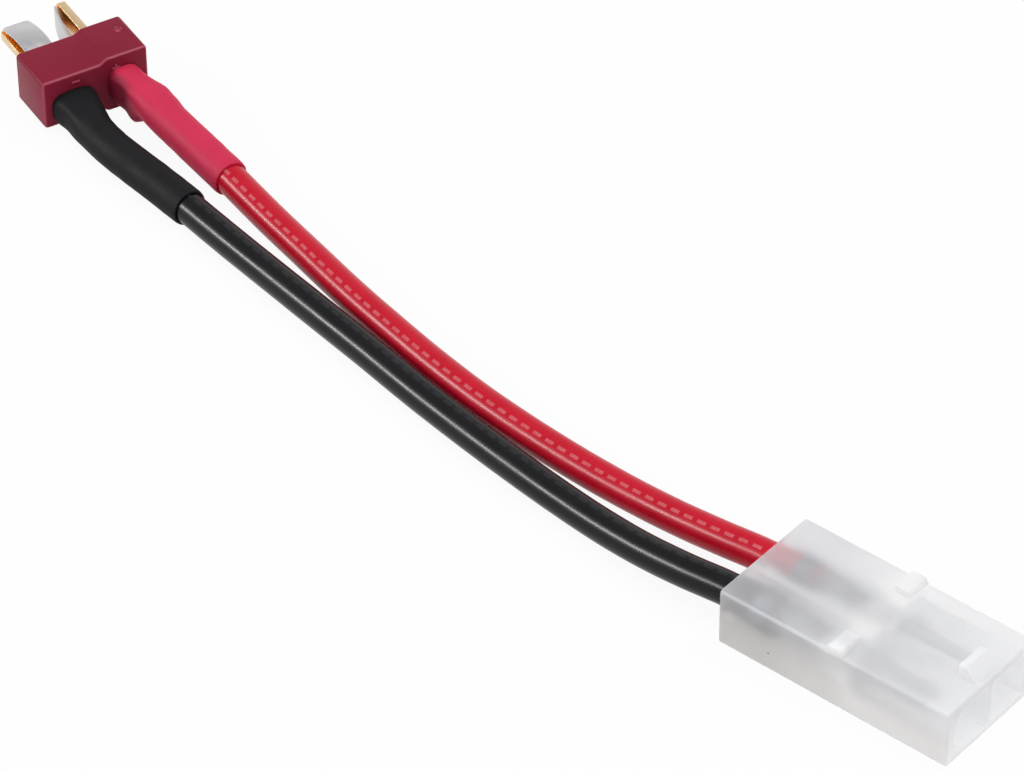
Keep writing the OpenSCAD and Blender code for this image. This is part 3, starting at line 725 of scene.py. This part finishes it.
# receptacle housing, its two guide ribs and its catch
receptacle = {"length": 28.5, "width": 14.3, "height": 7.2, "nearRound": 0.6, "farRound": 0.3, "edge": 0.25,
              "edgeSteps": 4, "pitch": 6.2, "web": 0.8, "wall": 0.9, "chamberRound": 1.9, "chamberCorner": 0.12,
              "chamberDepth": 13, "partition": 3.0, "wireBore": 2.5, "neckBore": 1.55, "boreSides": 64,
              "mouthEase": 0.15, "overcut": 1, "neckOver": 0.5}
ribs = {"height": 0.65, "length": 2.2, "slope": 0.3, "gap": 8.2, "middle": 14.45, "inset": 0.02, "sunk": 0.5,
        "edge": 0.12}
catch = {"height": 1.4, "width": 3.7, "length": 2.4, "land": 0.9, "setback": 0.4, "edge": 0.15}


def roundedSection(inset, width, height, low, nearRound, farRound):
    # a rectangle across y and z whose black-wire side and red-wire side have their own corner radius
    w, bottom, top = width / 2 - inset, low + inset, low + height - inset
    a, b = max(nearRound - inset, 0.05), max(farRound - inset, 0.05)
    return (arc(-w + a, bottom + a, a, 180, 270, 8) + arc(w - b, bottom + b, b, 270, 360, 5)
            + arc(w - b, top - b, b, 0, 90, 5) + arc(-w + a, top - a, a, 90, 180, 8))


def borer(x0, x1, y, radius):
    rings = [[(x, y + a, receptacle["height"] / 2 + b) for a, b in circle(radius, receptacle["boreSides"])]
             for x in (x0, x1)]
    return loftMesh("borer", rings)


def wedge(profile, y0, y1, edge):
    mesh = loftMesh("wedge", [[(x, y, z) for x, z in profile] for y in (y0, y1)])
    return bevelled(mesh, edge, 2)


def makeReceptacle():
    r = receptacle
    inPlace = Matrix.Translation((wireFace, 0, 0))
    def section(inset):
        return roundedSection(inset, r["width"], r["height"], 0, r["nearRound"], r["farRound"])
    block = easedLoft("block", 0, r["length"], r["edge"], r["edgeSteps"], section)
    front = r["length"] - r["chamberDepth"]
    back = front - r["partition"]
    ease, mouth, corner = r["mouthEase"], r["length"], r["chamberCorner"]
    wide, tall, over = r["pitch"] - r["web"], r["height"] - 2 * r["wall"], r["overcut"]
    changes = []
    for side in (-1, 1):
        y = side * r["pitch"] / 2
        changes.append(("DIFFERENCE", borer(-over, back, y, r["wireBore"])))
        changes.append(("DIFFERENCE", borer(back - r["neckOver"], front + r["neckOver"], y, r["neckBore"])))
        outer = r["chamberRound"] if side < 0 else corner  # the black wire's chamber is the rounded one
        rings = []
        for x, grow in ((front, 0), (mouth - ease, 0), (mouth, ease), (mouth + over, ease)):
            shape = roundedSection(-grow, wide, tall, r["wall"], outer, corner)
            rings.append([(x, y + a, z) for a, z in shape])
        changes.append(("DIFFERENCE", loftMesh("chamber", rings)))
    half, rise = r["width"] / 2 - ribs["inset"], r["height"]
    root, top = rise - ribs["sunk"], rise + ribs["height"]
    foot = ribs["middle"] - ribs["length"] / 2
    end = foot + ribs["length"]
    profile = [(foot, root), (foot, rise), (foot + ribs["slope"], top), (end - ribs["slope"], top), (end, rise),
               (end, root)]
    for y0, y1 in ((-half, -ribs["gap"] / 2), (ribs["gap"] / 2, half)):
        changes.append(("UNION", wedge(profile, y0, y1, ribs["edge"])))
    top, end = rise + catch["height"], r["length"] - catch["setback"]
    foot = end - catch["length"]
    profile = [(foot, root), (foot, top), (foot + catch["land"], top), (end, rise), (end, root)]
    changes.append(("UNION", wedge(profile, -catch["width"] / 2, catch["width"] / 2, catch["edge"])))
    for mesh in [block] + [tool for how, tool in changes]:
        toFrame(mesh, inPlace)
    return place("receptacle_body", carve(block, changes), "receptacle_housing", angle=32)


receptacleBody = makeReceptacle()
print("receptacle made")

# contacts and solder are the carried solids with their edges broken
broken = {"contact": 0.05, "solder": 0.12}


def refined(name, node, width, segments=2):
    mesh = nodes[node].data.copy()
    work = bmesh.new()
    work.from_mesh(mesh)
    bmesh.ops.remove_doubles(work, verts=work.verts, dist=1e-7)
    bmesh.ops.dissolve_limit(work, angle_limit=0.01, verts=work.verts, edges=work.edges)
    work.to_mesh(mesh)
    work.free()
    return place(name, bevelled(mesh, width * mm, segments), node)


# the pale pink is a painted highlight for the rims, the raised signs and the dimple
crimson = {"base": (0.26, 0.01, 0.032), "plain": 0.34, "gloss": 0.08, "rough": (0.3, 0.38), "cloud": (180, 4),
           "fine": (5200, 2), "bump": (0.00002, 0.5), "tones": ((0.215, 0.013, 0.033), (0.275, 0.02, 0.047)),
           "wearAndPaintedHighlight": (0.72, 0.16, 0.22)}


def crimsonNylon():
    material, tree, shader, coords = plainMaterial("crimsonNylon", crimson["base"], crimson["plain"],
                                                   Specular_IOR_Level=crimson["gloss"])
    fine = grain(tree, coords, *crimson["fine"])
    paintedHighlight = add(tree, "ShaderNodeAttribute", attribute_name="paintedHighlight").outputs["Fac"]
    body = tint(tree, grain(tree, coords, *crimson["cloud"]), *crimson["tones"])
    # painted highlight: paler pink where the housing's mesh carries its painted highlight share
    dress(tree, shader, tint(tree, paintedHighlight, body, crimson["wearAndPaintedHighlight"]), spread(tree, fine, *crimson["rough"]))
    roughen(tree, shader, fine, *crimson["bump"])
    return material


shrinks = {"black": {"tones": ((0.006, 0.006, 0.007), (0.011, 0.011, 0.013)), "rough": (0.55, 0.68),
                     "gloss": 0.1},
           "red": {"tones": ((0.58, 0.024, 0.075), (0.74, 0.042, 0.11)), "rough": (0.46, 0.58), "gloss": 0.09,
                   "paintedShade": (0.2, 0.008, 0.03)},
           "cloud": (260, 4), "fine": (4200, 3), "bump": (0.00003, 0.5)}
# painted shade on the red sleeve's lower left side by its mouth, where it faces the black sleeve: distances
# from its mouth, shares of the way round, strength of colour
mouthShade = {"from": 6.0, "full": 2.5, "sides": (0.55, 0.65, 0.92, 1.0), "share": 0.8}


def shrinkTube(name, look):
    material, tree, shader, coords = plainMaterial(name, look["tones"][1], look["rough"][0],
                                                   Specular_IOR_Level=look["gloss"])
    cloud = grain(tree, coords, *shrinks["cloud"])
    body = tint(tree, cloud, *look["tones"])
    # painted shade: the lower left side near the mouth is painted darker
    if "paintedShade" in look:
        spot = alongAround(tree)
        a, b, c, d = mouthShade["sides"]
        share = ranged(tree, spot["X"], mouthShade["from"], mouthShade["full"], 0.0, mouthShade["share"],
                       "SMOOTHSTEP")
        for start, full in ((a, b), (d, c)):
            share = number(tree, "MULTIPLY", share, ranged(tree, spot["Y"], start, full))
        body = tint(tree, share, body, look["paintedShade"])
    dress(tree, shader, body, spread(tree, cloud, *look["rough"]))
    roughen(tree, shader, grain(tree, coords, *shrinks["fine"]), *shrinks["bump"])
    return material


silicones = {"black": {"tones": ((0.002, 0.002, 0.003), (0.004, 0.004, 0.006)), "rough": (0.25, 0.3),
                       "gloss": 0.22, "ink": (0.05, 0.05, 0.06), "inkAt": 0.5},
             "red": {"tones": ((0.52, 0.004, 0.018), (0.66, 0.008, 0.032)), "rough": (0.25, 0.3),
                     "gloss": 0.18, "ink": (0.85, 0.4, 0.42), "inkAt": 0.57},
             "cloud": (220, 3), "fine": (3000, 2)}
ink = {"dash": 1.1, "pitch": 1.75, "height": 0.034, "cover": 0.34, "wearAndPaintedHighlight": 0.6}


def inkDashes(tree, where, wear):
    # plain dashes in pale ink along one side of a wire, from its own map of length and turn
    spot = alongAround(tree)
    on = number(tree, "LESS_THAN", number(tree, "MODULO", spot["X"], ink["pitch"]), ink["dash"])
    aside = number(tree, "ABSOLUTE", number(tree, "SUBTRACT", spot["Y"], where))
    near = number(tree, "LESS_THAN", aside, ink["height"] / 2)
    cover = spread(tree, wear, ink["cover"] * ink["wearAndPaintedHighlight"], ink["cover"])
    return number(tree, "MULTIPLY", number(tree, "MULTIPLY", on, near), cover)


def silicone(name, look):
    material, tree, shader, coords = plainMaterial(name, look["tones"][1], look["rough"][0],
                                                   Specular_IOR_Level=look["gloss"])
    cloud = grain(tree, coords, *silicones["cloud"])
    dashes = inkDashes(tree, look["inkAt"], grain(tree, coords, *silicones["fine"]))
    body = tint(tree, dashes, tint(tree, cloud, *look["tones"]), look["ink"])
    dress(tree, shader, body, spread(tree, cloud, *look["rough"]))
    return material


nylon = {"base": (0.93, 0.93, 0.94), "plain": 0.3, "cloud": (140, 3), "fine": (3600, 2), "rough": (0.5, 0.58),
         "roughInside": 0.5, "cool": ((0.95, 0.955, 0.975), (0.975, 0.98, 1.0)),
         # the darker warm tones are painted shade on the sides low down and toward the rear, and rearShade is
         # painted shade over the rear
         "shadedSide": ((0.6, 0.56, 0.53), (0.72, 0.69, 0.66)), "rearShade": (0.86, 0.86, 0.87),
         "gateAt": (-7.88, -7.15, 2.36), "gateColour": (0.12, 0.11, 0.11),
         "depthColour": (0.4, 0.36, 0.3, 1), "depthDensity": 48.0,
         # where each change of tone starts and where it is full, in millimetres
         "flank": (6.6, 7.1), "lowDown": (6.8, 3.5), "rear": (2, -9), "brink": (13.92, 13.99),
         "fading": (6, -4), "proud": (7.2, 7.5), "gate": (0.16, 0.064), "ends": (-14.25, 14.25),
         "flankAhead": 0.5, "fadedTo": 0.3, "brinkClearness": 0.2, "proudClearness": 0.15,
         # how far one sees into it, from the wire face (0) to the mating face (1)
         "clearness": [(0.0, 0.56), (0.17, 0.54), (0.3, 0.46), (0.42, 0.43), (0.47, 0.27), (0.53, 0.27),
                       (0.6, 0.4), (1.0, 0.4)]}


def milkyNylon():
    # cloudy where light comes in, clearer on the way out, so that what lies inside shows as soft smudges
    material, tree, shader, coords = plainMaterial("milkyNylon", nylon["base"], nylon["plain"], IOR=1.2,
                                                   Subsurface_Weight=0.6, Subsurface_Scale=0.002,
                                                   Subsurface_Radius=(1.0, 0.95, 0.9), Transmission_Weight=0.8)
    cloud, fine = grain(tree, coords, *nylon["cloud"]), grain(tree, coords, *nylon["fine"])
    inside = add(tree, "ShaderNodeNewGeometry").outputs["Backfacing"]
    spot = add(tree, "ShaderNodeSeparateXYZ", {"Vector": coords}).outputs
    def span(value, name, low=0.0, high=1.0):
        return ranged(tree, value, nylon[name][0] * mm, nylon[name][1] * mm, low, high)
    def times(a, b):
        return number(tree, "MULTIPLY", a, b)
    # painted shade: the sides are painted warmer and darker low down and toward the rear, and the rear is
    # painted darker all over
    rear = span(spot["X"], "rear")
    flank = times(span(number(tree, "ABSOLUTE", spot["Y"]), "flank"), span(spot["Z"], "lowDown"))
    flank = times(flank, ranged(tree, rear, 0.0, 1.0, nylon["flankAhead"]))
    flank = number(tree, "SUBTRACT", flank, inside, clamp=True)
    # the rounded top edge beside the black wire catches the light
    brink = span(number(tree, "SUBTRACT", spot["Z"], spot["Y"]), "brink")
    brink = times(brink, span(spot["X"], "fading", nylon["fadedTo"]))
    sideShade = number(tree, "SUBTRACT", flank, times(brink, flank))
    body = tint(tree, sideShade, tint(tree, cloud, *nylon["cool"]), tint(tree, cloud, *nylon["shadedSide"]))
    body = tint(tree, rear, body, nylon["rearShade"], "MULTIPLY")
    gateAt = Vector(nylon["gateAt"]) * mm
    off = add(tree, "ShaderNodeVectorMath", {0: coords, 1: gateAt}, operation="DISTANCE")
    body = tint(tree, span(off.outputs["Value"], "gate"), body, nylon["gateColour"])
    ramp = add(tree, "ShaderNodeValToRGB", {"Fac": span(spot["X"], "ends")})
    for at, amount in nylon["clearness"][1:-1]:
        ramp.color_ramp.elements.new(at)
    for stop, (at, amount) in zip(ramp.color_ramp.elements, nylon["clearness"]):
        stop.position, stop.color = at, (amount, amount, amount, 1)
    clear = span(spot["Z"], "proud", ramp.outputs["Color"], nylon["proudClearness"])
    clear = number(tree, "SUBTRACT", clear, times(brink, nylon["brinkClearness"]))
    tree.links.new(number(tree, "MAXIMUM", clear, inside), shader.inputs["Transmission Weight"])
    satin = spread(tree, fine, *nylon["rough"])
    dress(tree, shader, body, ranged(tree, inside, 0.0, 1.0, satin, nylon["roughInside"]))
    murk = {"Color": nylon["depthColour"], "Density": nylon["depthDensity"]}
    depth = add(tree, "ShaderNodeVolumeAbsorption", murk)
    tree.links.new(depth.outputs[0], tree.nodes["Material Output"].inputs["Volume"])
    return material


def paint(material, *pieces):
    for piece in pieces:
        piece.data.materials.clear()
        piece.data.materials.append(material)


contacts = [refined("black_crimp_contact", "black_contact", broken["contact"]),
            refined("red_crimp_contact", "red_contact", broken["contact"])]
beads = [refined("flat_tab_bead", "flat_tab_solder", broken["solder"], 3),
         refined("upright_tab_bead", "upright_tab_solder", broken["solder"], 3)]
print("contacts and solder refined")

paint(crimsonNylon(), plugBody)
paint(metal("goldPlate"), flatBlade, uprightBlade)
paint(metal("springNickel"), flatSpring, uprightSpring)
paint(shrinkTube("blackShrink", shrinks["black"]), blackSleeve)
paint(shrinkTube("redShrink", shrinks["red"]), redSleeve)
paint(silicone("blackSilicone", silicones["black"]), blackWire)
paint(silicone("redSilicone", silicones["red"]), redWire)
paint(milkyNylon(), receptacleBody)
paint(metal("tinPlate"), *contacts)
paint(metal("solderTin"), *beads)
print("finishes made")

# table and light, in metres and watts
studio = {"tableSize": 6.0, "tableGlow": 0.93, "tableColour": (0.93, 0.93, 0.93, 1), "sky": 0.5,
          "ceiling": 0.6, "ceilingFrom": 0.2, "ceilingFull": 0.8, "aim": (-0.05, 0.005, 0),
          # name, place, way of the long side, size, power, and whether it only shows in gloss
          "lamps": [("overhead", (0.1, 0.1, 0.9), (1, 0, 0), (1.1, 1.1), 5.0, False),
                    ("keyStrip", (-0.61, -0.46, 0.34), (0.9, -0.41, 0.14), (0.4, 0.05), 1.2, False),
                    ("keyShine", (-0.54, -0.49, 0.35), (0.9, -0.41, 0.14), (0.62, 0.09), 6.0, True),
                    ("rightEdge", (0.55, 0.1, 0.6), (0, 1, 0), (0.25, 0.12), 10.0, True)]}


def seenByEye(tree):
    # rays that reach the camera straight, mirrored or through the nylon; the others only carry light
    rays = add(tree, "ShaderNodeLightPath").outputs
    seen = number(tree, "MAXIMUM", rays["Is Camera Ray"], rays["Is Glossy Ray"])
    return number(tree, "MAXIMUM", seen, rays["Is Transmission Ray"])


def makeTable():
    size = studio["tableSize"] / 2
    mesh = bpy.data.meshes.new("table")
    corners = [(-size, -size, 0), (size, -size, 0), (size, size, 0), (-size, size, 0)]
    mesh.from_pydata(corners, [], [(0, 1, 2, 3)])
    table = bpy.data.objects.new("table", mesh)
    scene.collection.objects.link(table)
    material = bpy.data.materials.new("paleTable")
    material.use_nodes = True
    tree = material.node_tree
    tree.nodes.clear()
    share = number(tree, "MULTIPLY", seenByEye(tree), studio["tableGlow"])
    matt = add(tree, "ShaderNodeBsdfDiffuse", {"Color": studio["tableColour"]}).outputs[0]
    glow = add(tree, "ShaderNodeEmission", {"Color": (1, 1, 1, 1), "Strength": 1.0}).outputs[0]
    mix = add(tree, "ShaderNodeMixShader", {0: share, 1: matt, 2: glow})
    add(tree, "ShaderNodeOutputMaterial", {"Surface": mix.outputs[0]})
    mesh.materials.append(material)


def makeSky():
    world = bpy.data.worlds.new("studioSky")
    world.use_nodes = True
    tree = world.node_tree
    tree.nodes.clear()
    soft = add(tree, "ShaderNodeBackground", {"Color": (1, 1, 1, 1), "Strength": studio["sky"]}).outputs[0]
    way = add(tree, "ShaderNodeTexCoord").outputs["Generated"]
    high = add(tree, "ShaderNodeSeparateXYZ", {"Vector": way}).outputs["Z"]
    fade = ranged(tree, high, studio["ceilingFrom"], studio["ceilingFull"], 1.0, studio["ceiling"])
    white = add(tree, "ShaderNodeBackground", {"Color": (1, 1, 1, 1), "Strength": fade}).outputs[0]
    mix = add(tree, "ShaderNodeMixShader", {0: seenByEye(tree), 1: soft, 2: white})
    add(tree, "ShaderNodeOutputWorld", {"Surface": mix.outputs[0]})
    scene.world = world


def makeLamps():
    aim = Vector(studio["aim"])
    for name, where, along, size, watts, onlyGloss in studio["lamps"]:
        data = bpy.data.lights.new(name, "AREA")
        data.shape = "RECTANGLE"
        data.size, data.size_y = size
        data.energy = watts
        lamp = bpy.data.objects.new(name, data)
        back = (Vector(where) - aim).normalized()
        across = back.cross(Vector(along)).normalized()
        turn = Matrix((across.cross(back), across, back)).transposed()
        lamp.matrix_world = Matrix.Translation(where) @ turn.to_4x4()
        lamp.visible_diffuse = not onlyGloss
        lamp.visible_transmission = not onlyGloss
        scene.collection.objects.link(lamp)


makeTable()
makeSky()
makeLamps()
print("table and light made")

bpy.context.view_layer.update()
